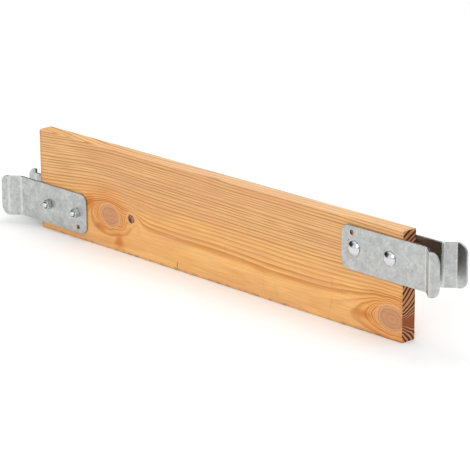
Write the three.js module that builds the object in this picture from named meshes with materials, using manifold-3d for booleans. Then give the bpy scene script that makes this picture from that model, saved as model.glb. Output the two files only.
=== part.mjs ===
// Scaffold toe board: a softwood board on edge with a steel fork at each end.
// Each fork is a pair of joggled flat-bar clips, through-bolted to both faces of
// the board, that closes on a 48.3 mm scaffold standard.
//
// Frame: origin at the middle of the board's bottom edge, +X along the board to
// its right end, +Y from the front face to the back face, +Z up. Millimetres.

import * as THREE from 'three';
import { mergeVertices } from 'three/addons/utils/BufferGeometryUtils.js';
import Module from 'manifold-3d';

const wasm = await Module();
wasm.setup();

// ---------------------------------------------------------------- board
const BOARD_LENGTH = 720;
const BOARD_HEIGHT = 150;
const BOARD_THICKNESS = 24;
const ARRIS_RADIUS = 2;             // the four long edges are eased
const BOLT_HOLE_DIAMETER = 9;
const PILOT_HOLE_DIAMETER = 5;      // in the board, behind each clip's nail hole
const PILOT_HOLE_DEPTH = 6;
const KNOT_HOLE_DIAMETER = 11;      // where a small loose knot has shrunk back and chipped
const KNOT_HOLE_DEPTH = 3;
const KNOT_HOLE_X = -160;
const KNOT_HOLE_Z = 54.5;

// ---------------------------------------------------------------- clips
const CLIP_WIDTH = 60;
const CLIP_THICKNESS = 3;
const CLIP_LAP = 105;               // length that lies on the board
const CLIP_REACH = 42.5;            // board end to the corner of the first bend
const JOGGLE_RUN = 15;              // first bend corner to second bend corner, along X
const JOGGLE_OFFSET = 13;           // how far the tip stands out from the flat
const TIP_LENGTH = 16;              // second bend corner to the free end
const FIRST_BEND_RADIUS = 5;        // on the hollow side
const SECOND_BEND_RADIUS = 1.5;     // on the hollow side
const LAP_CORNER_RADIUS = 12;
const TIP_CORNER_RADIUS = 13.5;
const NECK_HOLE_SIDE = 9;           // square, so that a bolt's neck can't turn
const NAIL_HOLE_DIAMETER = 6.5;
const NAIL_HOLE_TO_BOLT = 21;       // across the clip, from the inner bolt
const NAIL_HOLE_INSET = 4;          // along the clip, towards the lapped end
const RIGHT_CLIP_HEIGHT = 110;      // mid-height of the clips at the right end
const LEFT_CLIP_HEIGHT = BOARD_HEIGHT - RIGHT_CLIP_HEIGHT;

// ---------------------------------------------------------------- fasteners
const INNER_BOLT_FROM_END = 83;
const OUTER_BOLT_FROM_END = 21;
const BOLT_DIAMETER = 8;
const BOLT_LENGTH = 40;             // under the head
const BOLT_POINT = 1;               // chamfer at the thread's end
const HEAD_DIAMETER = 20.6;
const HEAD_HEIGHT = 4.9;
const HEAD_RIM = 0.6;
const NECK_SIDE = 8;
const NECK_DEPTH = 4.6;
const NUT_ACROSS_FLATS = 13;
const NUT_HEIGHT = 6.8;
const NUT_BORE_DIAMETER = 8.6;
const NUT_CHAMFER_ANGLE = 30;
const NUT_TURN = { inner: 12, outer: 41 };   // degrees, as they happened to stop

const GAP = 0.3;                    // between neighbouring pieces
const OVERSHOOT = 1;                // how far a cutter runs past what it cuts

// ---------------------------------------------------------------- shared values
const DEG = Math.PI / 180;
const HALF_LENGTH = BOARD_LENGTH / 2;
const HALF_THICKNESS = BOARD_THICKNESS / 2;
const CLIP_FACE = HALF_THICKNESS + GAP;               // board-side face of a clip's flat
const BOLT_SEAT = CLIP_FACE + CLIP_THICKNESS + GAP;   // where heads and nuts bear
const ROUND_SEGMENTS = 24;
const BEND_SEGMENTS = 6;

// ---------------------------------------------------------------- solids
function solidOf(geometry) {
  const bare = geometry.clone();
  bare.deleteAttribute('normal');
  bare.deleteAttribute('uv');
  const merged = mergeVertices(bare, 1e-4);
  return new wasm.Manifold(new wasm.Mesh({
    numProp: 3,
    vertProperties: new Float32Array(merged.attributes.position.array),
    triVerts: new Uint32Array(merged.index.array),
  }));
}

function geometryOf(solid) {
  const mesh = solid.getMesh();
  const geometry = new THREE.BufferGeometry();
  geometry.setAttribute('position', new THREE.BufferAttribute(mesh.vertProperties, 3));
  geometry.setIndex(new THREE.BufferAttribute(mesh.triVerts, 1));
  geometry.computeVertexNormals();
  return geometry;
}

// A rod or square bar along Y, centred at x, z, from y = low to y = high.
function roundBar(diameter, x, z, low, high) {
  const bar = new THREE.CylinderGeometry(diameter / 2, diameter / 2, high - low, ROUND_SEGMENTS);
  bar.translate(x, (low + high) / 2, z);
  return solidOf(bar);
}

function squareBar(side, x, z, low, high) {
  const bar = new THREE.BoxGeometry(side, high - low, side);
  bar.translate(x, (low + high) / 2, z);
  return solidOf(bar);
}

// A flat outline in x, z made solid along Y, from y = low to y = high.
function slabAlongY(shape, low, high) {
  const slab = new THREE.ExtrudeGeometry(shape, {
    depth: high - low, bevelEnabled: false, curveSegments: BEND_SEGMENTS,
  });
  slab.rotateX(Math.PI / 2);
  slab.translate(0, high, 0);
  return slab;
}

// ---------------------------------------------------------------- board
function boardSection() {
  const y = HALF_THICKNESS;
  const z = BOARD_HEIGHT;
  const r = ARRIS_RADIUS;
  const section = new THREE.Shape();
  section.moveTo(-y + r, 0);
  section.lineTo(y - r, 0);
  section.absarc(y - r, r, r, -90 * DEG, 0, false);
  section.absarc(y - r, z - r, r, 0, 90 * DEG, false);
  section.absarc(-y + r, z - r, r, 90 * DEG, 180 * DEG, false);
  section.absarc(-y + r, r, r, 180 * DEG, 270 * DEG, false);
  return section;
}

function boardGeometry() {
  const timber = new THREE.ExtrudeGeometry(boardSection(), {
    depth: BOARD_LENGTH, bevelEnabled: false, curveSegments: 3,
  });
  timber.rotateZ(Math.PI / 2);      // section x, y -> y, z once the length lies along X
  timber.rotateY(Math.PI / 2);
  timber.translate(-HALF_LENGTH, 0, 0);
  let board = solidOf(timber);

  // Each bolt's square neck also bites a pocket into the face that its head is on.
  const past = HALF_THICKNESS + OVERSHOOT;
  const pocketDepth = NECK_DEPTH - CLIP_THICKNESS - GAP;
  const pocketSide = NECK_SIDE + 2 * GAP;
  for (const end of [-1, 1]) {
    const z = end > 0 ? RIGHT_CLIP_HEIGHT : LEFT_CLIP_HEIGHT;
    const pocketFloor = HALF_THICKNESS - pocketDepth;
    const [low, high] = end > 0 ? [-past, -pocketFloor] : [pocketFloor, past];
    for (const fromEnd of [INNER_BOLT_FROM_END, OUTER_BOLT_FROM_END]) {
      const x = end * (HALF_LENGTH - fromEnd);
      board = board.subtract(roundBar(BOLT_HOLE_DIAMETER, x, z, -past, past));
      board = board.subtract(squareBar(pocketSide, x, z, low, high));
    }
    for (const face of [-1, 1]) {
      const x = end * (HALF_LENGTH - INNER_BOLT_FROM_END - NAIL_HOLE_INSET);
      const pilotZ = z - face * end * NAIL_HOLE_TO_BOLT;
      const floor = HALF_THICKNESS - PILOT_HOLE_DEPTH;
      const [from, to] = face > 0 ? [floor, past] : [-past, -floor];
      board = board.subtract(roundBar(PILOT_HOLE_DIAMETER, x, pilotZ, from, to));
    }
  }
  const knotHole = roundBar(
    KNOT_HOLE_DIAMETER, KNOT_HOLE_X, KNOT_HOLE_Z, -past, -HALF_THICKNESS + KNOT_HOLE_DEPTH,
  );
  return geometryOf(board.subtract(knotHole));
}

// ---------------------------------------------------------------- clips
// A clip lies in its own frame: x from its lapped end to its tip, y away from the
// board, z across its width, with y = 0 on the face that meets the board.
const CORNER_1 = CLIP_LAP + CLIP_REACH;
const CORNER_2 = CORNER_1 + JOGGLE_RUN;
const CLIP_LENGTH = CORNER_2 + TIP_LENGTH;
const JOGGLE_ANGLE = Math.atan2(JOGGLE_OFFSET, JOGGLE_RUN);

function clipSection() {
  const t = CLIP_THICKNESS;
  const tangent1 = (FIRST_BEND_RADIUS + t / 2) * Math.tan(JOGGLE_ANGLE / 2);
  const tangent2 = (SECOND_BEND_RADIUS + t / 2) * Math.tan(JOGGLE_ANGLE / 2);
  const bend1 = { x: CORNER_1 - tangent1, y: t + FIRST_BEND_RADIUS };
  const bend2 = { x: CORNER_2 + tangent2, y: JOGGLE_OFFSET - SECOND_BEND_RADIUS };
  const down = -90 * DEG;
  const up = 90 * DEG;
  const section = new THREE.Shape();
  section.moveTo(0, 0);
  section.absarc(bend1.x, bend1.y, FIRST_BEND_RADIUS + t, down, down + JOGGLE_ANGLE, false);
  section.absarc(bend2.x, bend2.y, SECOND_BEND_RADIUS, up + JOGGLE_ANGLE, up, true);
  section.lineTo(CLIP_LENGTH, JOGGLE_OFFSET);
  section.lineTo(CLIP_LENGTH, JOGGLE_OFFSET + t);
  section.absarc(bend2.x, bend2.y, SECOND_BEND_RADIUS + t, up, up + JOGGLE_ANGLE, false);
  section.absarc(bend1.x, bend1.y, FIRST_BEND_RADIUS, down + JOGGLE_ANGLE, down, true);
  section.lineTo(0, t);
  return section;
}

function clipOutline() {
  const lap = LAP_CORNER_RADIUS;
  const tip = TIP_CORNER_RADIUS;
  const outline = new THREE.Shape();
  outline.moveTo(lap, 0);
  outline.absarc(CLIP_LENGTH - tip, tip, tip, -90 * DEG, 0, false);
  outline.absarc(CLIP_LENGTH - tip, CLIP_WIDTH - tip, tip, 0, 90 * DEG, false);
  outline.absarc(lap, CLIP_WIDTH - lap, lap, 90 * DEG, 180 * DEG, false);
  outline.absarc(lap, lap, lap, 180 * DEG, 270 * DEG, false);
  return outline;
}

function clipGeometry() {
  const bar = new THREE.ExtrudeGeometry(clipSection(), {
    depth: CLIP_WIDTH, bevelEnabled: false, curveSegments: BEND_SEGMENTS,
  });
  const below = -OVERSHOOT;
  const above = JOGGLE_OFFSET + CLIP_THICKNESS + OVERSHOOT;
  let clip = solidOf(bar).intersect(solidOf(slabAlongY(clipOutline(), below, above)));
  const innerBolt = CLIP_LAP - INNER_BOLT_FROM_END;
  const outerBolt = CLIP_LAP - OUTER_BOLT_FROM_END;
  for (const x of [innerBolt, outerBolt]) {
    clip = clip.subtract(squareBar(NECK_HOLE_SIDE, x, CLIP_WIDTH / 2, below, above));
  }
  const nailX = innerBolt - NAIL_HOLE_INSET;
  const nailZ = CLIP_WIDTH / 2 - NAIL_HOLE_TO_BOLT;
  clip = clip.subtract(roundBar(NAIL_HOLE_DIAMETER, nailX, nailZ, below, above));
  clip = clip.translate([-CLIP_LAP, 0, -CLIP_WIDTH / 2]);   // board end and mid-width at zero
  return geometryOf(clip);
}

// ---------------------------------------------------------------- bolts
// A bolt lies along +Y with the underside of its head at y = 0.
function boltGeometry() {
  const headRadius = HEAD_DIAMETER / 2;
  const rise = HEAD_HEIGHT - HEAD_RIM;
  const domeRadius = (headRadius ** 2 + rise ** 2) / (2 * rise);
  const domeAngle = Math.asin(headRadius / domeRadius);
  const DOME_STEPS = 7;
  const profile = [];
  for (let i = 0; i <= DOME_STEPS; i += 1) {
    const angle = (domeAngle * i) / DOME_STEPS;
    const height = -HEAD_HEIGHT + domeRadius * (1 - Math.cos(angle));
    profile.push(new THREE.Vector2(domeRadius * Math.sin(angle), height));
  }
  const shank = BOLT_DIAMETER / 2;
  profile.push(new THREE.Vector2(headRadius, 0));
  profile.push(new THREE.Vector2(shank, 0));
  profile.push(new THREE.Vector2(shank, BOLT_LENGTH - BOLT_POINT));
  profile.push(new THREE.Vector2(shank - BOLT_POINT, BOLT_LENGTH));
  profile.push(new THREE.Vector2(0, BOLT_LENGTH));
  const turned = solidOf(new THREE.LatheGeometry(profile, ROUND_SEGMENTS));
  return geometryOf(turned.add(squareBar(NECK_SIDE, 0, 0, -HEAD_RIM, NECK_DEPTH)));
}

// ---------------------------------------------------------------- nuts
// A nut lies along +Y with its bearing face at y = 0.
function nutGeometry() {
  const across = NUT_ACROSS_FLATS / 2;
  const corner = across / Math.cos(Math.PI / 6);
  const hexagon = new THREE.CylinderGeometry(corner, corner, NUT_HEIGHT, 6);
  hexagon.translate(0, NUT_HEIGHT / 2, 0);
  const drop = (corner - across) * Math.tan(NUT_CHAMFER_ANGLE * DEG);
  const barrel = new THREE.LatheGeometry([
    new THREE.Vector2(0, 0),
    new THREE.Vector2(across, 0),
    new THREE.Vector2(corner + GAP, drop + GAP / 2),
    new THREE.Vector2(corner + GAP, NUT_HEIGHT - drop - GAP / 2),
    new THREE.Vector2(across, NUT_HEIGHT),
    new THREE.Vector2(0, NUT_HEIGHT),
  ], ROUND_SEGMENTS);
  const bore = roundBar(NUT_BORE_DIAMETER, 0, 0, -OVERSHOOT, NUT_HEIGHT + OVERSHOOT);
  return geometryOf(solidOf(hexagon).intersect(solidOf(barrel)).subtract(bore));
}

// ---------------------------------------------------------------- finishes
function pine() {
  return new THREE.MeshStandardMaterial({ color: 0xd9a15c, roughness: 0.7, metalness: 0 });
}

function galvanised() {
  return new THREE.MeshStandardMaterial({ color: 0xc3c5c2, roughness: 0.5, metalness: 0.8 });
}

function zincPlated() {
  return new THREE.MeshStandardMaterial({ color: 0xd0d3d4, roughness: 0.25, metalness: 1 });
}

function pieceOf(name, geometry, material) {
  const piece = new THREE.Mesh(geometry, material);
  piece.name = name;
  return piece;
}

// ---------------------------------------------------------------- assembly
const group = new THREE.Group();
group.add(pieceOf('board', boardGeometry(), pine()));

const clipShape = clipGeometry();
const boltShape = boltGeometry();
const nutShape = nutGeometry();

const ENDS = [
  { side: 'right', toward: 1, height: RIGHT_CLIP_HEIGHT },
  { side: 'left', toward: -1, height: LEFT_CLIP_HEIGHT },
];

for (const { side, toward, height } of ENDS) {
  const fork = new THREE.Group();
  fork.position.set(toward * HALF_LENGTH, 0, height);
  fork.rotation.z = toward > 0 ? 0 : Math.PI;        // the left fork is the right one turned round

  // In the fork's frame +x runs out past the board's end and the bolt heads are at -y.
  const near = pieceOf(`clip_${side}_${toward > 0 ? 'front' : 'back'}`, clipShape, galvanised());
  near.position.y = -CLIP_FACE;
  near.rotation.x = Math.PI;
  const far = pieceOf(`clip_${side}_${toward > 0 ? 'back' : 'front'}`, clipShape, galvanised());
  far.position.y = CLIP_FACE;
  fork.add(near, far);

  for (const [place, fromEnd] of [['inner', INNER_BOLT_FROM_END], ['outer', OUTER_BOLT_FROM_END]]) {
    const bolt = pieceOf(`bolt_${side}_${place}`, boltShape, zincPlated());
    bolt.position.set(-fromEnd, -BOLT_SEAT, 0);
    const nut = pieceOf(`nut_${side}_${place}`, nutShape, zincPlated());
    nut.position.set(-fromEnd, BOLT_SEAT, 0);
    nut.rotation.y = NUT_TURN[place] * DEG;
    fork.add(bolt, nut);
  }
  group.add(fork);
}

export default group;
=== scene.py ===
import math

import bmesh
import bpy
from mathutils import Matrix, Vector, noise


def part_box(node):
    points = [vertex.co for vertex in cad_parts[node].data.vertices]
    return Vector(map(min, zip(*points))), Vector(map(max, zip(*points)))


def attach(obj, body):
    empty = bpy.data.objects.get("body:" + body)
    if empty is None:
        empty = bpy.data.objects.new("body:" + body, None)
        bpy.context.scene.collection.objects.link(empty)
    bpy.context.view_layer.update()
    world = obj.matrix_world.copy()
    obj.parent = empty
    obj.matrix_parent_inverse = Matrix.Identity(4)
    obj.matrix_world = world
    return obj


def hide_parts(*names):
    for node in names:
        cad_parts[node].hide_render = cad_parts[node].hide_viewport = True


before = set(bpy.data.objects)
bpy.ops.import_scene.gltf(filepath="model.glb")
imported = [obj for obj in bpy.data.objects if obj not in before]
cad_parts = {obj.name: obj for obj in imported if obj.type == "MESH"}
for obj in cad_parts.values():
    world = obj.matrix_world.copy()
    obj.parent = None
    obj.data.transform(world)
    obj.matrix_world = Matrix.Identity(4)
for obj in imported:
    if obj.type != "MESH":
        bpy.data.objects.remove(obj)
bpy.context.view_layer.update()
MM = 0.001


# ---------------------------------------------------------------- camera
# A long lens beyond the right-hand end and a little above the board, so that the
# front face, the top edge and the right end are all in view.
AZIMUTH = math.radians(46.1)
ELEVATION = math.radians(17.4)
ROLL = math.radians(0.4)
DISTANCE = 3.306
AIM = (0.0218, 0.0179, 0.0645)

camera_data = bpy.data.cameras.new("camera")
camera_data.lens = 183.8
camera_data.clip_start = 0.05
camera_data.clip_end = 100
camera = bpy.data.objects.new("camera", camera_data)
camera.matrix_world = (
    Matrix.Translation(AIM)
    @ Matrix.Rotation(AZIMUTH, 4, "Z")
    @ Matrix.Rotation(math.pi / 2 - ELEVATION, 4, "X")
    @ Matrix.Rotation(-ROLL, 4, "Z")
    @ Matrix.Translation((0, 0, DISTANCE))
)
bpy.context.scene.collection.objects.link(camera)
bpy.context.scene.camera = camera


# ---------------------------------------------------------------- toe board
# A planed pine board, flat-sawn from beside the heart of the tree, so its upper half
# shows close straight rings and its lower half broad flames round two branch knots.
# The long edges are eased, the ends are sawn square, and it is bored for four bolts.
ARRIS = 2 * MM
END_EDGE = 0.6 * MM
GRID = 2.5 * MM
BOLT_HOLE = 9 * MM
KNOT_HOLE = 11 * MM
KNOT_HOLE_DEPTH = 3 * MM
KNOT_HOLE_X = -160 * MM
KNOT_HOLE_Z = 54.5 * MM
PILOT_HOLE = 5 * MM         # behind each clip's nail hole
PILOT_HOLE_DEPTH = 6 * MM
PILOT_FROM_END = 87 * MM
PILOT_TO_BOLT = 21 * MM
NICK_X = -64 * MM           # a short cut from another board's corner
NICK_Z = 8 * MM
NICK_SIZE = (1.3 * MM, 1.2 * MM, 8 * MM)
DENT_SIZE = 9 * MM
DENT_DEPTH = 0.9 * MM

PITH_BEHIND = 65            # mm: the heart of the tree ran this far behind the board's middle
PITH_HEIGHT = 20            # mm above the bottom edge, at the board's mid-length
PITH_FALL = 0.012           # mm down for each mm to the right
HEART_BOW = 16              # mm that the heart drops towards the board's left end
RING_WIDTH = 3.3            # mm of growth a year
HARD_YEAR = 81.2            # mm from the heart: one dry summer left a broad dark ring
MILD_YEARS = (72, 80)       # mm from the heart: a run of mild years left pale rings
# Each knot is a branch that grew out from the heart: where it meets the front face, in
# mm along and up, and its half width along the board and half height there.
KNOTS = {
    "left": (-205, 49, 19, 14.5),
    "right": (342, 28.5, 23, 16),
    "pin": (-159.5, 54.5, 5.5, 5),
}
KNOT_CORE = 5               # mm: near the heart a branch tapers no further
KNOT_LEAN = 27              # mm: a branch climbs this far along the tree from heart to face
GRAIN_STRETCH = 1.4         # the grain swings wide of a knot along the board
GRAIN_TIGHTNESS = 3         # and closes again above and below it
# Sizes in mm of what breaks up the wood: slow sway and quick eddies in the grain, the
# ragged edge of a knot, single fibres, broad blotches, rub marks, and darker edge patches.
SWAY_SIZE = (240, 60, 60)
EDDY_SIZE = 22
RUFFLE_SIZE = 9
FIBRE_SIZE = (45, 1.3, 1.3)
BLOTCH_SIZE = (110, 26, 26)
EDGE_PATCH_SIZE = 14
RUB_SIZE = (7, 1, 34)
RUB_PATCH_SIZE = 80
PITCH_DEPTH = 14
# Where resin has soaked the wood beside the knots: mm along and up, half length and height.
PITCH_SPOTS = ((-247, 62, 15, 19), (-226, 29, 19, 7), (-187, 15, 13, 15), (293, 24, 24, 11))

board_low, board_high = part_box("board")

SMOOTH = {"interpolation_type": "SMOOTHSTEP"}
RGBA = {"data_type": "RGBA"}


def add(tree, kind, inputs=(), **settings):
    """Adds one node: its own settings by name, and a value or a link for each input."""
    new = tree.nodes.new(kind)
    for name, value in settings.items():
        setattr(new, name, value)
    for socket, value in inputs.items() if isinstance(inputs, dict) else enumerate(inputs):
        if isinstance(value, bpy.types.Node):
            value = value.outputs[0]
        if isinstance(value, bpy.types.NodeSocket):
            tree.links.new(value, new.inputs[socket])
        else:
            new.inputs[socket].default_value = value
    return new


def colour(code):
    """An sRGB hex colour as the linear colour with alpha that a socket takes."""
    parts = [int(code[i:i + 2], 16) / 255 for i in (1, 3, 5)]
    linear = [c / 12.92 if c <= 0.04045 else ((c + 0.055) / 1.055) ** 2.4 for c in parts]
    return (*linear, 1)


def new_material(name):
    """An empty material with its output and one Principled shader."""
    material = bpy.data.materials.new(name)
    material.use_nodes = True
    tree = material.node_tree
    tree.nodes.clear()
    shader = add(tree, "ShaderNodeBsdfPrincipled")
    add(tree, "ShaderNodeOutputMaterial", {"Surface": shader})
    return material, tree, shader


def place_in_mm(tree):
    coordinates = add(tree, "ShaderNodeTexCoord")
    inputs = {0: coordinates.outputs["Object"], "Scale": 1 / MM}
    return add(tree, "ShaderNodeVectorMath", inputs, operation="SCALE")


def knot_reach(tree, place, knot, stretch=1):
    """How far a place is from a branch's axis, as a multiple of the branch's radius there."""
    along, up, half_width, half_height = knot
    squeeze = Vector((half_height / half_width / stretch, 1, 1))
    heart = Vector((along + KNOT_LEAN, PITH_BEHIND, PITH_HEIGHT - PITH_FALL * along))
    axis = (Vector((along, board_low.y / MM, up)) - heart) * squeeze
    from_heart = add(tree, "ShaderNodeVectorMath", (place, heart), operation="SUBTRACT")
    squeezed = add(tree, "ShaderNodeVectorMath", (from_heart, squeeze), operation="MULTIPLY")
    toward = axis.normalized()
    off_axis = add(tree, "ShaderNodeVectorMath", (squeezed, toward), operation="CROSS_PRODUCT")
    across = add(tree, "ShaderNodeVectorMath", (off_axis,), operation="LENGTH").outputs["Value"]
    depth = add(tree, "ShaderNodeVectorMath", (squeezed, toward),
                operation="DOT_PRODUCT").outputs["Value"]
    deep = add(tree, "ShaderNodeMath", (depth, KNOT_CORE), operation="MAXIMUM")
    ratio = add(tree, "ShaderNodeMath", (across, deep), operation="DIVIDE")
    return add(tree, "ShaderNodeMath", (ratio, axis.length / half_height), operation="MULTIPLY")


def pine_growth():
    """The tree's own pattern through the solid board: its rings, bent round its branches."""
    group = bpy.data.node_groups.new("pine_growth", "ShaderNodeTree")
    names = ("Latewood", "Growth", "Knot", "Pin knot", "Fibre", "Blotch", "Pitch", "Paired rings")
    for name in names:
        group.interface.new_socket(name, in_out="OUTPUT", socket_type="NodeSocketFloat")
    place = place_in_mm(group)

    slow = add(group, "ShaderNodeVectorMath", (place, [1 / size for size in SWAY_SIZE]),
               operation="MULTIPLY")
    sway = add(group, "ShaderNodeTexNoise", {"Vector": slow, "Scale": 1, "Detail": 2})
    swayed = add(group, "ShaderNodeVectorMath", (sway.outputs["Color"], (0, 5, 5), place),
                 operation="MULTIPLY_ADD")
    place_grown = add(group, "ShaderNodeVectorMath", (swayed, (0, 2.5, 2.5)), operation="SUBTRACT")

    parts = add(group, "ShaderNodeSeparateXYZ", (place_grown,))
    back = add(group, "ShaderNodeMath", (parts.outputs["Y"], PITH_BEHIND), operation="SUBTRACT")
    fallen = add(group, "ShaderNodeMath", (parts.outputs["X"], PITH_FALL, parts.outputs["Z"]),
                 operation="MULTIPLY_ADD")
    bow_ends = (parts.outputs["X"], -180, -420, -PITH_HEIGHT, HEART_BOW - PITH_HEIGHT)
    bow = add(group, "ShaderNodeMapRange", bow_ends, **SMOOTH)
    high = add(group, "ShaderNodeMath", (fallen, bow), operation="ADD")
    radial = add(group, "ShaderNodeCombineXYZ", {"Y": back, "Z": high})
    growth = add(group, "ShaderNodeVectorMath", (radial,), operation="LENGTH").outputs["Value"]

    eddy = add(group, "ShaderNodeTexNoise", {"Vector": place, "Scale": 1 / EDDY_SIZE, "Detail": 2})
    eddied = add(group, "ShaderNodeVectorMath", (eddy.outputs["Color"], (12, 0, 10), place_grown),
                 operation="MULTIPLY_ADD")
    place_eddied = add(group, "ShaderNodeVectorMath", (eddied, (6, 0, 5)), operation="SUBTRACT")
    ruffle = add(group, "ShaderNodeTexNoise",
                 {"Vector": place, "Scale": 1 / RUFFLE_SIZE, "Detail": 2})
    ruffled = add(group, "ShaderNodeVectorMath", (ruffle.outputs["Color"], (5, 0, 5), place_grown),
                  operation="MULTIPLY_ADD")
    place_ruffled = add(group, "ShaderNodeVectorMath", (ruffled, (2.5, 0, 2.5)),
                        operation="SUBTRACT")
    for knot in KNOTS.values():
        ratio = knot_reach(group, place_eddied, knot, GRAIN_STRETCH)
        steep = add(group, "ShaderNodeMath", (ratio, GRAIN_TIGHTNESS), operation="POWER")
        whole = add(group, "ShaderNodeMath", (steep, 1), operation="ADD")
        root = add(group, "ShaderNodeMath", (whole, 1 / GRAIN_TIGHTNESS), operation="POWER")
        bent = add(group, "ShaderNodeMath", (ratio, root), operation="DIVIDE")
        growth = add(group, "ShaderNodeMath", (growth, bent), operation="MULTIPLY")
    reach = {name: knot_reach(group, place_ruffled, knot) for name, knot in KNOTS.items()}
    knot = add(group, "ShaderNodeMath", (reach["left"], reach["right"]), operation="MINIMUM")

    season = add(group, "ShaderNodeMath", (growth, 0.11), operation="MULTIPLY")
    uneven = add(group, "ShaderNodeTexNoise", {"W": season, "Scale": 1, "Detail": 1},
                 noise_dimensions="1D")
    years = add(group, "ShaderNodeMath", (growth, 1 / RING_WIDTH), operation="MULTIPLY")
    rings = add(group, "ShaderNodeMath", (uneven, 0.9, years), operation="MULTIPLY_ADD")
    phase = add(group, "ShaderNodeMath", (rings,), operation="FRACT")
    year = add(group, "ShaderNodeMath", (rings,), operation="FLOOR")
    thickening = add(group, "ShaderNodeMapRange", (phase, 0.3, 0.9, 0, 1), **SMOOTH)
    stopping = add(group, "ShaderNodeMapRange", (phase, 0.92, 1, 1, 0), **SMOOTH)
    band = add(group, "ShaderNodeMath", (thickening, stopping), operation="MULTIPLY")
    chance = add(group, "ShaderNodeTexWhiteNoise", {"W": year}, noise_dimensions="1D")
    strength = add(group, "ShaderNodeMapRange", (chance.outputs["Value"], 0, 1, 0.55, 1))
    usual = add(group, "ShaderNodeMath", (band, strength), operation="MULTIPLY")
    mild_from = add(group, "ShaderNodeMapRange",
                    (growth, MILD_YEARS[0], MILD_YEARS[0] + 3, 0, 0.75))
    mild_to = add(group, "ShaderNodeMapRange", (growth, MILD_YEARS[1], MILD_YEARS[1] - 1, 0, 1))
    mild = add(group, "ShaderNodeMath", (mild_from, mild_to), operation="MULTIPLY")
    clear = add(group, "ShaderNodeMapRange", (knot, 2, 4, 0, 1))
    mild_here = add(group, "ShaderNodeMath", (mild, clear), operation="MULTIPLY")
    kept = add(group, "ShaderNodeMath", (1, mild_here), operation="SUBTRACT")
    paler = add(group, "ShaderNodeMath", (usual, kept), operation="MULTIPLY")
    off_hard = add(group, "ShaderNodeMath", (growth, HARD_YEAR), operation="SUBTRACT")
    hard_gap = add(group, "ShaderNodeMath", (off_hard,), operation="ABSOLUTE")
    hard = add(group, "ShaderNodeMapRange", (hard_gap, 0.15, 0.8, 1, 0), **SMOOTH)
    latewood = add(group, "ShaderNodeMath", (paler, hard), operation="MAXIMUM")
    # One band for every two years: drawn coarser than real, for the sawn ends.
    pairs = add(group, "ShaderNodeMath", (rings, 0.5), operation="MULTIPLY")
    pair_phase = add(group, "ShaderNodeMath", (pairs,), operation="FRACT")
    pair_start = add(group, "ShaderNodeMapRange", (pair_phase, 0.35, 0.6, 0, 1), **SMOOTH)
    pair_stop = add(group, "ShaderNodeMapRange", (pair_phase, 0.9, 1, 1, 0), **SMOOTH)
    paired = add(group, "ShaderNodeMath", (pair_start, pair_stop), operation="MULTIPLY")

    thin = add(group, "ShaderNodeVectorMath", (place_grown, [1 / size for size in FIBRE_SIZE]),
               operation="MULTIPLY")
    fibre = add(group, "ShaderNodeTexNoise", {"Vector": thin, "Scale": 1, "Detail": 3})
    wide = add(group, "ShaderNodeVectorMath", (place, [1 / size for size in BLOTCH_SIZE]),
               operation="MULTIPLY")
    blotch = add(group, "ShaderNodeTexNoise", {"Vector": wide, "Scale": 1, "Detail": 2})
    pitch = 0
    for along, up, half_length, half_height in PITCH_SPOTS:
        off = add(group, "ShaderNodeVectorMath", (place_eddied, (along, board_low.y / MM, up)),
                  operation="SUBTRACT")
        size = (1 / half_length, 1 / PITCH_DEPTH, 1 / half_height)
        scaled = add(group, "ShaderNodeVectorMath", (off, size), operation="MULTIPLY")
        out = add(group, "ShaderNodeVectorMath", (scaled,), operation="LENGTH").outputs["Value"]
        soaked = add(group, "ShaderNodeMapRange", (out, 0.1, 1.25, 1, 0), **SMOOTH)
        pitch = add(group, "ShaderNodeMath", (pitch, soaked), operation="MAXIMUM")
    pin_knot = reach["pin"]
    values = (latewood, growth, knot, pin_knot, fibre, blotch, pitch, paired)
    add(group, "NodeGroupOutput", dict(zip(names, values)))
    return group


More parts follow.
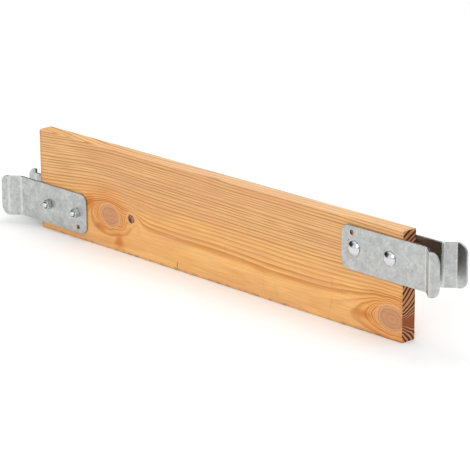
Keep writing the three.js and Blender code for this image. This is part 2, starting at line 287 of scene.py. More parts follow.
def planed_pine(growth_group):
    """Planed pine: silky between the rings, with darker, harder and slightly proud latewood."""
    material, tree, shader = new_material("planed_pine")
    wood = add(tree, "ShaderNodeGroup", node_tree=growth_group).outputs
    from_heart = add(tree, "ShaderNodeMapRange", (wood["Growth"], 84, 116, 0, 1), **SMOOTH)
    early = add(tree, "ShaderNodeMix",
                {"Factor": from_heart, 6: colour("#f6be75"), 7: colour("#eebb80")},
                **RGBA).outputs[2]
    late = add(tree, "ShaderNodeMix",
               {"Factor": from_heart, 6: colour("#d48b3c"), 7: colour("#b0712f")},
               **RGBA).outputs[2]
    rings = add(tree, "ShaderNodeMix", {"Factor": wood["Latewood"], 6: early, 7: late},
                **RGBA).outputs[2]

    cloudy = add(tree, "ShaderNodeMapRange", (wood["Blotch"], 0.4, 0.68, 0, 0.45))
    clouded = add(tree, "ShaderNodeMix", {"Factor": cloudy, 6: rings, 7: colour("#dfa074")},
                  **RGBA).outputs[2]
    pale = add(tree, "ShaderNodeMapRange", (wood["Blotch"], 0.42, 0.25, 0, 0.5))
    bleached = add(tree, "ShaderNodeMix", {"Factor": pale, 6: clouded, 7: colour("#f6c68e")},
                   **RGBA).outputs[2]
    streaky = add(tree, "ShaderNodeMapRange", (wood["Fibre"], 0.3, 0.7, 0.86, 1.08))
    streaked = add(tree, "ShaderNodeVectorMath", {0: bleached, "Scale": streaky}, operation="SCALE")

    near = add(tree, "ShaderNodeMapRange", (wood["Knot"], 3, 1.3, 0, 0.75), **SMOOTH)
    resin = add(tree, "ShaderNodeMath", (near, wood["Pitch"]), operation="MAXIMUM")
    fat = add(tree, "ShaderNodeMix",
              {"Factor": wood["Latewood"], 6: colour("#eaa156"), 7: colour("#a65214")},
              **RGBA).outputs[2]
    flamed = add(tree, "ShaderNodeMix", {"Factor": resin, 6: streaked, 7: fat}, **RGBA).outputs[2]
    core = add(tree, "ShaderNodeMapRange", (wood["Pitch"], 0.35, 1, 0, 0.6))
    deepened = add(tree, "ShaderNodeMix", {"Factor": core, 6: flamed, 7: colour("#cb7a34")},
                   **RGBA).outputs[2]
    collar = add(tree, "ShaderNodeMapRange", (wood["Knot"], 1.25, 1.05, 0, 0.6), **SMOOTH)
    collared = add(tree, "ShaderNodeMix", {"Factor": collar, 6: deepened, 7: colour("#efbd8e")},
                   **RGBA).outputs[2]
    off_rim = add(tree, "ShaderNodeMath", (wood["Knot"], 1), operation="SUBTRACT")
    rim_gap = add(tree, "ShaderNodeMath", (off_rim,), operation="ABSOLUTE")
    rim = add(tree, "ShaderNodeMapRange", (rim_gap, 0.02, 0.08, 0.5, 0), **SMOOTH)
    rimmed = add(tree, "ShaderNodeMix", {"Factor": rim, 6: collared, 7: colour("#a8683a")},
                 **RGBA).outputs[2]
    branch_rings = add(tree, "ShaderNodeMath", (wood["Knot"], 19), operation="MULTIPLY")
    branch_wave = add(tree, "ShaderNodeMath", (branch_rings,), operation="SINE")
    branch_tone = add(tree, "ShaderNodeMath", (branch_wave, 0.12, wood["Fibre"]),
                      operation="MULTIPLY_ADD")
    branch_wood = add(tree, "ShaderNodeMix",
                      {"Factor": branch_tone, 6: colour("#dda57a"), 7: colour("#b97d54")},
                      **RGBA).outputs[2]
    inside = add(tree, "ShaderNodeMapRange", (wood["Knot"], 0.96, 0.86, 0, 1), **SMOOTH)
    knotted = add(tree, "ShaderNodeMix", {"Factor": inside, 6: rimmed, 7: branch_wood},
                  **RGBA).outputs[2]
    pin_collar = add(tree, "ShaderNodeMapRange", (wood["Pin knot"], 2.1, 1.4, 0, 0.7), **SMOOTH)
    pin_collared = add(tree, "ShaderNodeMix",
                       {"Factor": pin_collar, 6: knotted, 7: colour("#eab488")}, **RGBA).outputs[2]
    bark = add(tree, "ShaderNodeMapRange", (wood["Pin knot"], 1.25, 1.08, 0, 1), **SMOOTH)
    barked = add(tree, "ShaderNodeMix", {"Factor": bark, 6: pin_collared, 7: colour("#633a20")},
                 **RGBA).outputs[2]
    inside_pin = add(tree, "ShaderNodeMapRange", (wood["Pin knot"], 1.08, 0.9, 0, 1), **SMOOTH)
    pinned = add(tree, "ShaderNodeMix", {"Factor": inside_pin, 6: barked, 7: colour("#c48e62")},
                 **RGBA).outputs[2]

    place = place_in_mm(tree)
    heights = add(tree, "ShaderNodeSeparateXYZ", (place,)).outputs
    facing = add(tree, "ShaderNodeNewGeometry").outputs["Normal"]
    upward = add(tree, "ShaderNodeSeparateXYZ", (facing,)).outputs["Z"]
    # Painted light: the upward-facing top face is blended towards pale cream, as if lit from above,
    # less so towards the left end.
    on_top = add(tree, "ShaderNodeMapRange", (upward, 0.7, 0.95, 0, 0.26))
    toward_right = add(tree, "ShaderNodeMapRange", (heights["X"], -280, -60, 0, 1))
    painted_top_light = add(tree, "ShaderNodeMath", (on_top, toward_right), operation="MULTIPLY")
    top_lit = add(tree, "ShaderNodeMix", {"Factor": painted_top_light, 6: pinned, 7: colour("#f8dcb8")},
                **RGBA).outputs[2]
    rubs = add(tree, "ShaderNodeVectorMath", (place, [1 / size for size in RUB_SIZE]),
               operation="MULTIPLY")
    rub = add(tree, "ShaderNodeTexNoise", {"Vector": rubs, "Scale": 1, "Detail": 2})
    rub_mark = add(tree, "ShaderNodeMapRange", (rub, 0.58, 0.8, 0, 0.28))
    here = add(tree, "ShaderNodeTexNoise",
               {"Vector": place, "Scale": 1 / RUB_PATCH_SIZE, "Detail": 1})
    rub_patch = add(tree, "ShaderNodeMapRange", (here, 0.46, 0.6, 0, 1))
    rub_and_sheen = add(tree, "ShaderNodeMath", (rub_mark, rub_patch), operation="MULTIPLY")
    smudged = add(tree, "ShaderNodeMix", {"Factor": rub_and_sheen, 6: top_lit, 7: colour("#a08a62")},
                  **RGBA).outputs[2]
    # Darker towards the bottom edge and towards the sawn ends, in noisy patches.
    edge_patches = add(tree, "ShaderNodeTexNoise",
                  {"Vector": place, "Scale": 1 / EDGE_PATCH_SIZE, "Detail": 3})
    low_edge = add(tree, "ShaderNodeMapRange", (heights["Z"], 5, 1, 0, 0.75))
    from_middle = add(tree, "ShaderNodeMath", (heights["X"],), operation="ABSOLUTE")
    end_edge = add(tree, "ShaderNodeMapRange", (from_middle, 352, 360, 0, 0.6))
    edges = add(tree, "ShaderNodeMath", (low_edge, end_edge), operation="MAXIMUM")
    patchiness = add(tree, "ShaderNodeMapRange", (edge_patches, 0.45, 0.7, 0.15, 1))
    edge_darkening = add(tree, "ShaderNodeMath", (edges, patchiness), operation="MULTIPLY")
    edge_darkened = add(tree, "ShaderNodeMix", {"Factor": edge_darkening, 6: smudged, 7: colour("#8a6040")},
                 **RGBA).outputs[2]
    # Painted shade: the nick's surface is darkened, as if in shadow inside the cut.
    from_nick = add(tree, "ShaderNodeVectorMath",
                    (place, (NICK_X / MM, board_low.y / MM, NICK_Z / MM)), operation="SUBTRACT")
    nick_size = Vector(NICK_SIZE) / MM
    nick_reach = add(tree, "ShaderNodeVectorMath", (from_nick, [1.6 / side for side in nick_size]),
                     operation="MULTIPLY")
    nick_off = add(tree, "ShaderNodeVectorMath", (nick_reach,), operation="LENGTH").outputs["Value"]
    in_nick = add(tree, "ShaderNodeMapRange", (nick_off, 1.3, 0.7, 0, 0.9))
    nick_shaded = add(tree, "ShaderNodeMix", {"Factor": in_nick, 6: edge_darkened, 7: colour("#6d4a2a")},
                 **RGBA).outputs[2]
    tree.links.new(nick_shaded, shader.inputs["Base Color"])

    rough = add(tree, "ShaderNodeMapRange", (wood["Latewood"], 0, 1, 0.68, 0.5))
    tree.links.new(rough.outputs[0], shader.inputs["Roughness"])
    ridges = add(tree, "ShaderNodeMath", (wood["Fibre"], 0.5, wood["Latewood"]),
                 operation="MULTIPLY_ADD")
    bump = add(tree, "ShaderNodeBump", {"Strength": 0.35, "Distance": 0.3 * MM, "Height": ridges})
    tree.links.new(bump.outputs[0], shader.inputs["Normal"])
    shader.inputs["Specular IOR Level"].default_value = 0.3
    return material


def sawn_pine_end(growth_group):
    """Sawn end grain: open pores soak up dirt and light, so it is darker, matt and scored."""
    material, tree, shader = new_material("sawn_pine_end")
    wood = add(tree, "ShaderNodeGroup", node_tree=growth_group).outputs
    rings = add(tree, "ShaderNodeMix",
                {"Factor": wood["Paired rings"], 6: colour("#c98e64"), 7: colour("#5a2c14")},
                **RGBA).outputs[2]
    inside = add(tree, "ShaderNodeMapRange", (wood["Knot"], 1, 0.8, 0, 1), **SMOOTH)
    knotted = add(tree, "ShaderNodeMix", {"Factor": inside, 6: rings, 7: colour("#985530")},
                  **RGBA).outputs[2]
    place = place_in_mm(tree)
    pores = add(tree, "ShaderNodeTexNoise", {"Vector": place, "Scale": 0.9, "Detail": 4})
    spotted = add(tree, "ShaderNodeMapRange", (pores, 0.3, 0.7, 0.75, 1.15))
    soaked = add(tree, "ShaderNodeVectorMath", {0: knotted, "Scale": spotted}, operation="SCALE")
    tree.links.new(soaked.outputs[0], shader.inputs["Base Color"])
    shader.inputs["Roughness"].default_value = 0.85
    shader.inputs["Specular IOR Level"].default_value = 0.2
    scored = add(tree, "ShaderNodeVectorMath", (place, (1, 0.15, 1.6)), operation="MULTIPLY")
    kerf = add(tree, "ShaderNodeTexNoise", {"Vector": scored, "Scale": 1, "Detail": 2})
    bump = add(tree, "ShaderNodeBump", {"Strength": 0.6, "Distance": 0.4 * MM, "Height": kerf})
    tree.links.new(bump.outputs[0], shader.inputs["Normal"])
    return material


def stations(low, high, radius, step):
    """Grid lines from low to high, close together where the edges are rounded."""
    eased = [radius * (1 - math.tan(math.radians(angle))) for angle in (45, 30, 15)]
    count = max(1, round((high - low - 2 * radius) / step))
    flat = [low + radius + (high - low - 2 * radius) * i / count for i in range(count + 1)]
    return [low + e for e in eased] + flat + [high - e for e in reversed(eased)]


def gridded_box(lines):
    """A closed box whose faces are gridded along the given lines for x, y and z."""
    box = bmesh.new()
    for axis in range(3):
        second, third = (axis + 1) % 3, (axis + 2) % 3
        for side in (0, -1):
            rows = []
            for u in lines[second]:
                row = []
                for v in lines[third]:
                    spot = Vector()
                    spot[axis], spot[second], spot[third] = lines[axis][side], u, v
                    row.append(box.verts.new(spot))
                rows.append(row)
            for i in range(len(rows) - 1):
                for j in range(len(rows[0]) - 1):
                    quad = [rows[i][j], rows[i + 1][j], rows[i + 1][j + 1], rows[i][j + 1]]
                    box.faces.new(quad if side else quad[::-1])
    bmesh.ops.remove_doubles(box, verts=box.verts, dist=0.01 * MM)
    return box


def ease_edges(box, low, high, radii):
    """Rounds the box's edges, and presses a few dents into them."""
    inner_low = low + radii
    inner_high = high - radii
    for vert in box.verts:
        inner = Vector([min(max(vert.co[i], inner_low[i]), inner_high[i]) for i in range(3)])
        out = Vector([(vert.co[i] - inner[i]) / radii[i] for i in range(3)])
        on_edge = sum(abs(part) > 0.01 for part in out) > 1
        out.normalize()
        vert.co = inner + out * radii
        if on_edge:
            dent = max(0, noise.noise(vert.co / DENT_SIZE) - 0.25) * DENT_DEPTH
            vert.co -= out * dent


def bar_along_y(mesh, diameter, x, z, low, high):
    """Adds a round bar along Y to a mesh of cutters."""
    place = Matrix.Translation((x, (low + high) / 2, z)) @ Matrix.Rotation(math.pi / 2, 4, "X")
    bmesh.ops.create_cone(mesh, cap_ends=True, segments=32, radius1=diameter / 2,
                          radius2=diameter / 2, depth=high - low, matrix=place)


def to_object(mesh, name, materials):
    """Turns a bmesh into a linked object at the origin."""
    data = bpy.data.meshes.new(name)
    mesh.to_mesh(data)
    mesh.free()
    for material in materials:
        data.materials.append(material)
    made = bpy.data.objects.new(name, data)
    bpy.context.scene.collection.objects.link(made)
    return made


def with_modifiers_applied(made):
    """Replaces an object's mesh with what its modifiers make of it, and removes them."""
    shown = made.evaluated_get(bpy.context.evaluated_depsgraph_get())
    data = bpy.data.meshes.new_from_object(shown)
    made.modifiers.clear()
    made.data = data
    return made


def smooth_up_to(made, degrees):
    """Smooth shading, with edges sharper than the angle left crisp."""
    made.data.polygons.foreach_set("use_smooth", [True] * len(made.data.polygons))
    made.data.set_sharp_from_angle(angle=math.radians(degrees))


radii = Vector((END_EDGE, ARRIS, ARRIS))
board_lines = [stations(board_low[i], board_high[i], radii[i], GRID) for i in range(3)]
timber = gridded_box(board_lines)
ease_edges(timber, board_low, board_high, radii)

growth_group = pine_growth()
board = to_object(timber, "toe_board", [planed_pine(growth_group), sawn_pine_end(growth_group)])

cutters = bmesh.new()
for bolt in ("bolt_right_inner", "bolt_right_outer", "bolt_left_inner", "bolt_left_outer"):
    low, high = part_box(bolt)
    middle = (low + high) / 2
    bar_along_y(cutters, BOLT_HOLE, middle.x, middle.z, board_low.y - MM, board_high.y + MM)
bar_along_y(cutters, KNOT_HOLE, KNOT_HOLE_X, KNOT_HOLE_Z, board_low.y - MM,
            board_low.y + KNOT_HOLE_DEPTH)
for clip in ("clip_right_front", "clip_right_back", "clip_left_front", "clip_left_back"):
    low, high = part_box(clip)
    toward = 1 if high.x > board_high.x else -1
    x = toward * (board_high.x - PILOT_FROM_END)
    front = low.y < board_low.y
    z = (low.z + high.z) / 2 + PILOT_TO_BOLT * (toward if front else -toward)
    y = board_low.y if front else board_high.y
    bar_along_y(cutters, PILOT_HOLE, x, z, y - PILOT_HOLE_DEPTH, y + PILOT_HOLE_DEPTH)
nick_place = Matrix.Translation((NICK_X, board_low.y, NICK_Z)) @ Matrix.Diagonal((*NICK_SIZE, 1))
bmesh.ops.create_cube(cutters, size=1, matrix=nick_place)
drills = to_object(cutters, "drills", [])
boring = board.modifiers.new("boring", "BOOLEAN")
boring.object = drills
boring.operation = "DIFFERENCE"
with_modifiers_applied(board)
bpy.data.objects.remove(drills)

for face in board.data.polygons:
    faces_along = abs(face.normal.x) > 0.7
    is_sawn_end = faces_along and abs(face.center.x) > board_high.x - ARRIS
    face.material_index = 1 if is_sawn_end else 0
smooth_up_to(board, 50)
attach(board, "root")
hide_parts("board")


# ---------------------------------------------------------------- fork clips
# Four equal clips of 60 x 3 mm galvanised flat bar: sheared to length with rounded
# corners, punched for the bolts and one nail, then joggled outwards in a press.
# Bolted in pairs to both faces, they make a fork at each end of the board.
CLIP_THICKNESS = 3 * MM
CLIP_WIDTH = 60 * MM
CLIP_LAP = 105 * MM
CLIP_REACH = 42.5 * MM
JOGGLE_RUN = 15 * MM
JOGGLE_OFFSET = 13 * MM
TIP_LENGTH = 16 * MM
FIRST_BEND = 6.5 * MM        # radius of the bar's middle line
SECOND_BEND = 3 * MM
LAP_CORNER = 12 * MM
TIP_CORNER = 13.5 * MM
NECK_HOLE = 9 * MM
NECK_HOLE_CORNER = 0.8 * MM
NAIL_HOLE = 6.5 * MM
NAIL_HOLE_INSET = 4 * MM
NAIL_HOLE_TO_BOLT = 21 * MM
SHEARED_EDGE = 0.35 * MM
INNER_BOLT_FROM_END = 83 * MM
OUTER_BOLT_FROM_END = 21 * MM
BEND_STEPS = 10
CORNER_STEPS = 10
SHEEN_FADE = 1.2 * MM          # each bend gets a painted highlight and a little less roughness, fading over this length
CRYSTAL_SIZE = 3             # mm
CLOUD_SIZE = 10              # mm
PIT_SPACING = 15             # mm

joggle_angle = math.atan2(JOGGLE_OFFSET, JOGGLE_RUN)
joggle_slope = math.hypot(JOGGLE_RUN, JOGGLE_OFFSET)
tangents = [radius * math.tan(joggle_angle / 2) for radius in (FIRST_BEND, SECOND_BEND)]
# The bar's middle line, from the lapped end: each stretch's length and turn.
STRETCHES = [
    (CLIP_LAP + CLIP_REACH - tangents[0], 0),
    (FIRST_BEND * joggle_angle, joggle_angle),
    (joggle_slope - sum(tangents), 0),
    (SECOND_BEND * joggle_angle, -joggle_angle),
    (TIP_LENGTH - tangents[1], 0),
]
BLANK_LENGTH = sum(length for length, turn in STRETCHES)


def bent(spot):
    """Where a flat blank's point goes when it is joggled: x along, y through, z across."""
    place = Vector((0, 0))
    heading = 0
    left = spot.x
    for length, turn in STRETCHES:
        step = min(left, length)
        part = turn * step / length
        if turn:
            radius = length / turn
            centre = place + Vector((-math.sin(heading), math.cos(heading))) * radius
            heading += part
            place = centre - Vector((-math.sin(heading), math.cos(heading))) * radius
        else:
            place += Vector((math.cos(heading), math.sin(heading))) * step
        left -= step
        if left <= 0:
            break
    out = Vector((-math.sin(heading), math.cos(heading))) * (spot.y - CLIP_THICKNESS / 2)
    return Vector((place.x + out.x, place.y + out.y + CLIP_THICKNESS / 2, spot.z))


def rounded_loop(x0, z0, x1, z1, radii, steps):
    """A rectangle with rounded corners, anticlockwise from the low corner."""
    loop = []
    corners = ((x0, z0, 180), (x1, z0, 270), (x1, z1, 0), (x0, z1, 90))
    for (x, z, start), radius in zip(corners, radii):
        centre = (x + radius * (1 if x == x0 else -1), z + radius * (1 if z == z0 else -1))
        for k in range(steps + 1):
            angle = math.radians(start + 90 * k / steps)
            loop.append((centre[0] + radius * math.cos(angle),
                         centre[1] + radius * math.sin(angle)))
    return loop


def add_loop(mesh, points):
    verts = [mesh.verts.new((x, 0, z)) for x, z in points]
    return [mesh.edges.new((verts[i], verts[i - 1])) for i in range(len(verts))]


def clip_mesh():
    """One clip in its own frame: x from its lapped end, y away from the board, z across."""
    blank = bmesh.new()
    half = CLIP_WIDTH / 2
    corner_radii = (LAP_CORNER, TIP_CORNER, TIP_CORNER, LAP_CORNER)
    edges = add_loop(blank, rounded_loop(0, -half, BLANK_LENGTH, half, corner_radii, CORNER_STEPS))
    for from_end in (INNER_BOLT_FROM_END, OUTER_BOLT_FROM_END):
        x = CLIP_LAP - from_end
        side = NECK_HOLE / 2
        edges += add_loop(blank,
                          rounded_loop(x - side, -side, x + side, side, (NECK_HOLE_CORNER,) * 4, 3))
    nail_x = CLIP_LAP - INNER_BOLT_FROM_END - NAIL_HOLE_INSET
    nail = NAIL_HOLE / 2
    edges += add_loop(blank, rounded_loop(nail_x - nail, -NAIL_HOLE_TO_BOLT - nail, nail_x + nail,
                                          -NAIL_HOLE_TO_BOLT + nail, (nail * 0.999,) * 4, 6))
    bmesh.ops.triangle_fill(blank, use_beauty=True, edges=edges)

    start = 0
    bends = []
    for length, turn in STRETCHES:
        if turn:
            bends.append((start, start + length))
            lines = [start + length * k / BEND_STEPS for k in range(BEND_STEPS + 1)]
            for where in [start - SHEEN_FADE] + lines + [start + length + SHEEN_FADE]:
                bmesh.ops.bisect_plane(blank, geom=blank.verts[:] + blank.edges[:] + blank.faces[:],
                                       dist=0.001 * MM, plane_co=(where, 0, 0), plane_no=(1, 0, 0))
        start += length
    flat_faces = blank.faces[:]
    thick = bmesh.ops.extrude_face_region(blank, geom=flat_faces)
    raised = [item for item in thick["geom"] if isinstance(item, bmesh.types.BMVert)]
    bmesh.ops.translate(blank, verts=raised, vec=(0, CLIP_THICKNESS, 0))
    bmesh.ops.recalc_face_normals(blank, faces=blank.faces)
    rims = [edge for edge in blank.edges if edge.calc_face_angle(0) > math.radians(60)]
    bmesh.ops.bevel(blank, geom=rims, offset=SHEARED_EDGE, segments=2, profile=0.5, affect="EDGES")
    # Marks each bend, where the zinc is painted brighter as a highlight.
    rub_and_sheen = blank.verts.layers.float.new("rub_and_sheen")
    for vert in blank.verts:
        in_bend = any(low - 0.1 * MM < vert.co.x < high + 0.1 * MM for low, high in bends)
        vert[rub_and_sheen] = 1 if in_bend else 0
        vert.co = bent(vert.co)
    return blank


def galvanised_steel():
    """Hot-dip galvanised steel: a dull, slightly uneven zinc skin in soft crystal patches."""
    material, tree, shader = new_material("galvanised_steel")
    place = place_in_mm(tree)
    crystals = add(tree, "ShaderNodeTexVoronoi", {"Vector": place, "Scale": 1 / CRYSTAL_SIZE})
    grains = add(tree, "ShaderNodeSeparateColor", (crystals.outputs["Color"],))
    cloud = add(tree, "ShaderNodeTexNoise",
                {"Vector": place, "Scale": 1 / CLOUD_SIZE, "Detail": 5, "Roughness": 0.6})
    mottle = add(tree, "ShaderNodeMath", (grains, 0.2, cloud), operation="MULTIPLY_ADD")
    tone = add(tree, "ShaderNodeMapRange", (mottle, 0.35, 0.85, 0, 1))
    zinc = add(tree, "ShaderNodeMix", {"Factor": tone, 6: colour("#a8abaa"), 7: colour("#cacccb")},
               **RGBA).outputs[2]
    pits = add(tree, "ShaderNodeTexVoronoi", {"Vector": place, "Scale": 1 / PIT_SPACING})
    luck = add(tree, "ShaderNodeSeparateColor", (pits.outputs["Color"],))
    pitted = add(tree, "ShaderNodeMapRange", (luck, 0.72, 0.74, 0, 0.8))
    near_pit = add(tree, "ShaderNodeMapRange", (pits.outputs["Distance"], 0.1, 0.04, 0, 1))
    pit = add(tree, "ShaderNodeMath", (pitted, near_pit), operation="MULTIPLY")
    spotted = add(tree, "ShaderNodeMix", {"Factor": pit, 6: zinc, 7: colour("#5f5d58")},
                  **RGBA).outputs[2]
    # Painted highlight: each bend is blended towards near white and made a little less rough, as if
    # catching the light.
    rub_and_sheen = add(tree, "ShaderNodeAttribute", attribute_name="rub_and_sheen").outputs["Fac"]
    bend_highlight = add(tree, "ShaderNodeMath", (rub_and_sheen, 0.25), operation="MULTIPLY")
    bend_highlighted = add(tree, "ShaderNodeMix", {"Factor": bend_highlight, 6: spotted, 7: colour("#f4f5f5")},
                    **RGBA).outputs[2]
    tree.links.new(bend_highlighted, shader.inputs["Base Color"])
    shader.inputs["Metallic"].default_value = 1
    dull = add(tree, "ShaderNodeMapRange", (mottle, 0.35, 0.85, 0.34, 0.26))
    rough = add(tree, "ShaderNodeMath", (rub_and_sheen, -0.05, dull), operation="MULTIPLY_ADD")
    tree.links.new(rough.outputs[0], shader.inputs["Roughness"])
    bump = add(tree, "ShaderNodeBump", {"Strength": 0.3, "Distance": 0.3 * MM, "Height": cloud})
    tree.links.new(bump.outputs[0], shader.inputs["Normal"])
    return material


galvanised = galvanised_steel()
for side, toward in (("right", 1), ("left", -1)):
    for face, facing in (("front", -1), ("back", 1)):
        node = f"clip_{side}_{face}"
        low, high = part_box(node)
        steel = clip_mesh()
        lapped_end = low.x if toward > 0 else high.x
        board_side = low.y if facing > 0 else high.y
        # The same clip turned over, so that its joggle points away from the board.
        turned = Matrix.Diagonal((toward, facing, toward * facing, 1))
        place = Matrix.Translation((lapped_end, board_side, (low.z + high.z) / 2))
        bmesh.ops.transform(steel, matrix=place @ turned, verts=steel.verts)
        clip = to_object(steel, f"fork_{node}", [galvanised])
        smooth_up_to(clip, 20)
        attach(clip, "root")
        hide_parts(node)


# ---------------------------------------------------------------- carriage bolts
# Four M8 x 40 zinc-plated carriage bolts: a smooth mushroom head, a square neck that
# the clip's square hole stops from turning, and a rolled thread. They go in from the
# front at the right end and from the back at the left end.
HEAD_DIAMETER = 20.6 * MM
HEAD_HEIGHT = 4.9 * MM
HEAD_RIM = 0.6 * MM
NECK_SIDE = 8 * MM
NECK_DEPTH = 4.6 * MM
SHANK = 8 * MM
BOLT_LENGTH = 40 * MM
THREAD_LENGTH = 22 * MM
THREAD_PITCH = 1.25 * MM
THREAD_DEPTH = 0.7 * MM
POINT = 1 * MM
AROUND = 40
RIM_ROUNDING = 0.15 * MM
NECK_CORNER = 0.66           # of the neck's side, middle to corner
ROLLED_SHANK = 0.93          # plain shank over thread: a rolled thread stands proud of it
NECK_TAPER = 0.6 * MM
HAZE_SIZE = 3                # mm


def ring(mesh, radius_at, y):
    """A loop of vertices round the Y axis; radius_at gives each angle's radius."""
    spots = []
    for k in range(AROUND):
        angle = 2 * math.pi * k / AROUND
        radius = radius_at(angle)
        spots.append(mesh.verts.new((radius * math.sin(angle), y, radius * math.cos(angle))))
    return spots


def skin(mesh, rings):
    """Joins neighbouring loops with quads and closes both ends."""
    for first, second in zip(rings, rings[1:]):
        for k in range(AROUND):
            nxt = (k + 1) % AROUND
            mesh.faces.new((first[k], second[k], second[nxt], first[nxt]))
    mesh.faces.new(rings[0])
    mesh.faces.new(reversed(rings[-1]))
    bmesh.ops.recalc_face_normals(mesh, faces=mesh.faces)


def square_radius(half, corner):
    """The radius of a square with slightly rounded corners, by angle."""
    def radius_at(angle):
        nearest = max(abs(math.cos(angle)), abs(math.sin(angle)))
        return min(half / nearest, corner)
    return radius_at


def carriage_bolt():
    """One bolt along +Y, with the underside of its head at the origin."""
    bolt = bmesh.new()
    rise = HEAD_HEIGHT - HEAD_RIM
    head = HEAD_DIAMETER / 2
    dome = (head ** 2 + rise ** 2) / (2 * rise)
    reach = math.asin(head / dome)
    rings = []
    for k in range(1, 11):
        angle = reach * k / 10
        rings.append(ring(bolt, lambda a, r=dome * math.sin(angle): r,
                          dome * (1 - math.cos(angle)) - HEAD_HEIGHT))
    rings.append(ring(bolt, lambda a: head, -RIM_ROUNDING))
    rings.append(ring(bolt, lambda a: head - RIM_ROUNDING, 0))
    neck = square_radius(NECK_SIDE / 2, NECK_SIDE * NECK_CORNER)
    rings.append(ring(bolt, neck, 0))
    rings.append(ring(bolt, neck, NECK_DEPTH - NECK_TAPER))
    rings.append(ring(bolt, lambda a: SHANK / 2 * ROLLED_SHANK, NECK_DEPTH))
    thread_start = BOLT_LENGTH - THREAD_LENGTH
    rings.append(ring(bolt, lambda a: SHANK / 2 * ROLLED_SHANK, thread_start - THREAD_PITCH))
    steps = round((THREAD_LENGTH - POINT) / THREAD_PITCH * 8)
    for k in range(steps + 1):
        y = thread_start + (THREAD_LENGTH - POINT) * k / steps

        def crest(angle, y=y):
            turn = (y / THREAD_PITCH - angle / (2 * math.pi)) % 1
            return SHANK / 2 - THREAD_DEPTH * abs(2 * turn - 1)
        rings.append(ring(bolt, crest, y))
    rings.append(ring(bolt, lambda a: SHANK / 2 - POINT, BOLT_LENGTH))
    skin(bolt, rings)
    # How deep into the thread each point lies, for the painted shade in the thread roots.
    groove = bolt.verts.layers.float.new("groove")
    for vert in bolt.verts:
        wide = math.hypot(vert.co.x, vert.co.z)
        threaded = thread_start < vert.co.y < BOLT_LENGTH - POINT / 2
        vert[groove] = min(1, (SHANK / 2 - wide) / THREAD_DEPTH) if threaded else 0
    return bolt


def bright_zinc():
    """Bright zinc plate: smooth, slightly blue-white, hazy from handling, with painted shade in the
    thread roots and nut bores.
    """
    material, tree, shader = new_material("bright_zinc_plate")
    place = place_in_mm(tree)
    haze = add(tree, "ShaderNodeTexNoise", {"Vector": place, "Scale": 1 / HAZE_SIZE, "Detail": 3})
    tint = add(tree, "ShaderNodeMix", {"Factor": haze, 6: colour("#c6cbd0"), 7: colour("#e2e4e4")},
               **RGBA).outputs[2]
    groove = add(tree, "ShaderNodeAttribute", attribute_name="groove").outputs["Fac"]
    # Painted shade: thread roots and nut bores are darkened almost to black, as if in shadow.
    groove_shade = add(tree, "ShaderNodeMapRange", (groove, 0.1, 0.7, 0, 0.9))
    groove_shaded = add(tree, "ShaderNodeMix", {"Factor": groove_shade, 6: tint, 7: colour("#2e2d2b")}, **RGBA)
    tree.links.new(groove_shaded.outputs[2], shader.inputs["Base Color"])
    shader.inputs["Metallic"].default_value = 1
    rough = add(tree, "ShaderNodeMapRange", (haze, 0.3, 0.7, 0.12, 0.24))
    tree.links.new(rough.outputs[0], shader.inputs["Roughness"])
    return material


def set_on_places():
    """A tree that sets one piece on every point of a mesh, turned by the point's own turn."""
    tree = bpy.data.node_groups.new("set_on_places", "GeometryNodeTree")
    tree.interface.new_socket("Places", in_out="INPUT", socket_type="NodeSocketGeometry")
    tree.interface.new_socket("Piece", in_out="INPUT", socket_type="NodeSocketObject")
    tree.interface.new_socket("Finish", in_out="INPUT", socket_type="NodeSocketMaterial")
    tree.interface.new_socket("Pieces", in_out="OUTPUT", socket_type="NodeSocketGeometry")
    given = add(tree, "NodeGroupInput").outputs
    piece = add(tree, "GeometryNodeObjectInfo", {"Object": given["Piece"]})
    turn = add(tree, "GeometryNodeInputNamedAttribute", {"Name": "turn"}, data_type="FLOAT_VECTOR")
    rotation = add(tree, "FunctionNodeEulerToRotation", (turn,))
    placed = add(tree, "GeometryNodeInstanceOnPoints",
                 {"Points": given["Places"], "Instance": piece.outputs["Geometry"],
                  "Rotation": rotation})
    real = add(tree, "GeometryNodeRealizeInstances", (placed,))
    finished = add(tree, "GeometryNodeSetMaterial", {"Geometry": real, "Material": given["Finish"]})
    add(tree, "NodeGroupOutput", (finished,))
    return tree


def set_out(name, tree, piece, places, finish):
    """Places copies of a piece at (point, turn) places and makes them one plain mesh."""
    points = bpy.data.meshes.new(name)
    points.from_pydata([spot for spot, turn in places], [], [])
    turns = points.attributes.new("turn", "FLOAT_VECTOR", "POINT")
    for item, (spot, turn) in zip(turns.data, places):
        item.vector = turn
    made = bpy.data.objects.new(name, points)
    bpy.context.scene.collection.objects.link(made)
    placing = made.modifiers.new("placing", "NODES")
    placing.node_group = tree
    items = tree.interface.items_tree
    sockets = {item.name: item.identifier for item in items if item.in_out == "INPUT"}
    placing[sockets["Piece"]] = piece
    placing[sockets["Finish"]] = finish
    with_modifiers_applied(made)
    bpy.data.objects.remove(piece)
    return made


PLACES = [(side, place) for side in ("right", "left") for place in ("inner", "outer")]
placing_tree = set_on_places()
zinc_plate = bright_zinc()
bolt_places = []
for side, place in PLACES:
    low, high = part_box(f"bolt_{side}_{place}")
    middle = (low + high) / 2
    seat = low.y + HEAD_HEIGHT if side == "right" else high.y - HEAD_HEIGHT
    bolt_places.append(((middle.x, seat, middle.z), (0, 0, 0 if side == "right" else math.pi)))
one_bolt = to_object(carriage_bolt(), "one_bolt", [])
smooth_up_to(one_bolt, 35)
bolts = set_out("carriage_bolts", placing_tree, one_bolt, bolt_places, zinc_plate)
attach(bolts, "root")
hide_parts(*[f"bolt_{side}_{place}" for side, place in PLACES])


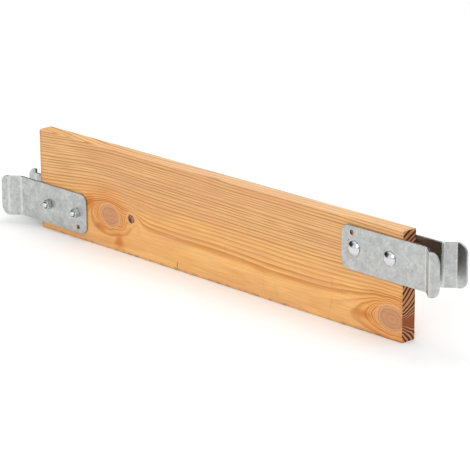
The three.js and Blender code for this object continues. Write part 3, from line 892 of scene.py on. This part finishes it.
# ---------------------------------------------------------------- nuts
# Four M8 hexagon nuts, 13 mm across flats, zinc plated and chamfered on both faces.
# They are run down on to the bare steel, and each stopped at its own angle.
NUT_ACROSS = 13 * MM
NUT_HEIGHT = 6.8 * MM
NUT_BORE = 8.2 * MM
NUT_MOUTH = 9 * MM
NUT_CHAMFER = math.radians(30)
NUT_AROUND = 60
NUT_TURN = {"inner": math.radians(12), "outer": math.radians(41)}


def hex_nut():
    """One nut along +Y, with its bearing face at the origin."""
    nut = bmesh.new()
    flat = NUT_ACROSS / 2
    ring_radius = flat * 0.97

    def wall(angle):
        return flat / math.cos((angle + math.pi / 6) % (math.pi / 3) - math.pi / 6)

    def chamfered_ring(from_top):
        spots = []
        for k in range(NUT_AROUND):
            angle = 2 * math.pi * k / NUT_AROUND
            radius = wall(angle)
            drop = (radius - ring_radius) * math.tan(NUT_CHAMFER)
            y = NUT_HEIGHT - drop if from_top else drop
            spots.append(nut.verts.new((radius * math.sin(angle), y, radius * math.cos(angle))))
        return spots

    def plain_ring(radius, y):
        angles = [2 * math.pi * k / NUT_AROUND for k in range(NUT_AROUND)]
        return [nut.verts.new((radius * math.sin(a), y, radius * math.cos(a))) for a in angles]

    sink = (NUT_MOUTH - NUT_BORE) / 2
    rings = [
        plain_ring(NUT_BORE / 2, sink), plain_ring(NUT_MOUTH / 2, 0), plain_ring(ring_radius, 0),
        chamfered_ring(False), chamfered_ring(True),
        plain_ring(ring_radius, NUT_HEIGHT), plain_ring(NUT_MOUTH / 2, NUT_HEIGHT),
        plain_ring(NUT_BORE / 2, NUT_HEIGHT - sink),
    ]
    for first, second in zip(rings, rings[1:] + rings[:1]):
        for k in range(len(first)):
            nxt = (k + 1) % len(first)
            nut.faces.new((first[k], second[k], second[nxt], first[nxt]))
    bmesh.ops.recalc_face_normals(nut, faces=nut.faces)
    # The bore and its mouth, for the painted shade inside the nut.
    groove = nut.verts.layers.float.new("groove")
    for vert in nut.verts:
        vert[groove] = 1 if math.hypot(vert.co.x, vert.co.z) < NUT_MOUTH / 2 + 0.01 * MM else 0
    return nut


nut_places = []
for side, place in PLACES:
    low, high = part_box(f"nut_{side}_{place}")
    middle = (low + high) / 2
    seat = low.y if side == "right" else high.y
    half_turn = 0 if side == "right" else math.pi
    nut_places.append(((middle.x, seat, middle.z), (0, NUT_TURN[place], half_turn)))
one_nut = to_object(hex_nut(), "one_nut", [])
smooth_up_to(one_nut, 25)
nuts = set_out("hex_nuts", placing_tree, one_nut, nut_places, zinc_plate)
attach(nuts, "root")
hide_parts(*[f"nut_{side}_{place}" for side, place in PLACES])


# ---------------------------------------------------------------- floor and light
# A wide pale floor under a soft bright ceiling, with a bright front wall and a soft lamp.
# The wall to the left is dark at eye level, so that bare metal has something to show.
FLOOR_SIZE = 40
CEILING_GLOW = 1.11
WALL_GLOW = 0.5
DARK_WALL_GLOW = 0.02
FRONT_GLOW = 0.95
LAMPS = {
    "front_lamp": {"place": (1.5, -2.4, 1.5), "size": 1.2, "energy": 15},
    "top_lamp": {"place": (-0.6, 0.4, 3.0), "size": 2.5, "energy": 30},
}

ground = bmesh.new()
bmesh.ops.create_grid(ground, x_segments=1, y_segments=1, size=FLOOR_SIZE / 2)
floor_material, _, floor_shader = new_material("pale_floor")
floor_shader.inputs["Base Color"].default_value = colour("#fafafa")
floor_shader.inputs["Roughness"].default_value = 0.9
floor = to_object(ground, "floor", [floor_material])

for name, lamp in LAMPS.items():
    lamp_data = bpy.data.lights.new(name, "AREA")
    lamp_data.size = lamp["size"]
    lamp_data.energy = lamp["energy"]
    made = bpy.data.objects.new(name, lamp_data)
    made.location = lamp["place"]
    made.rotation_euler = (-Vector(lamp["place"])).to_track_quat("-Z", "Y").to_euler()
    bpy.context.scene.collection.objects.link(made)

room = bpy.data.worlds.new("studio")
room.use_nodes = True
air = room.node_tree
facing = add(air, "ShaderNodeSeparateXYZ", (add(air, "ShaderNodeTexCoord").outputs["Generated"],))
leftward = add(air, "ShaderNodeMapRange",
               (facing.outputs["X"], -0.22, -0.48, WALL_GLOW, DARK_WALL_GLOW))
ahead = add(air, "ShaderNodeMapRange", (facing.outputs["Y"], -0.78, -0.92, 0, 1))
wall = add(air, "ShaderNodeMix", {"Factor": ahead, 2: leftward, 3: FRONT_GLOW}, data_type="FLOAT")
above = add(air, "ShaderNodeMapRange", (facing.outputs["Z"], 0.45, 0.75, 0, 1))
glow = add(air, "ShaderNodeMix", {"Factor": above, 2: wall, 3: CEILING_GLOW}, data_type="FLOAT")
backdrop = air.nodes["Background"]
backdrop.inputs["Color"].default_value = colour("#ffffff")
air.links.new(glow.outputs[0], backdrop.inputs["Strength"])
bpy.context.scene.world = room
bpy.context.scene.view_settings.view_transform = "Standard"
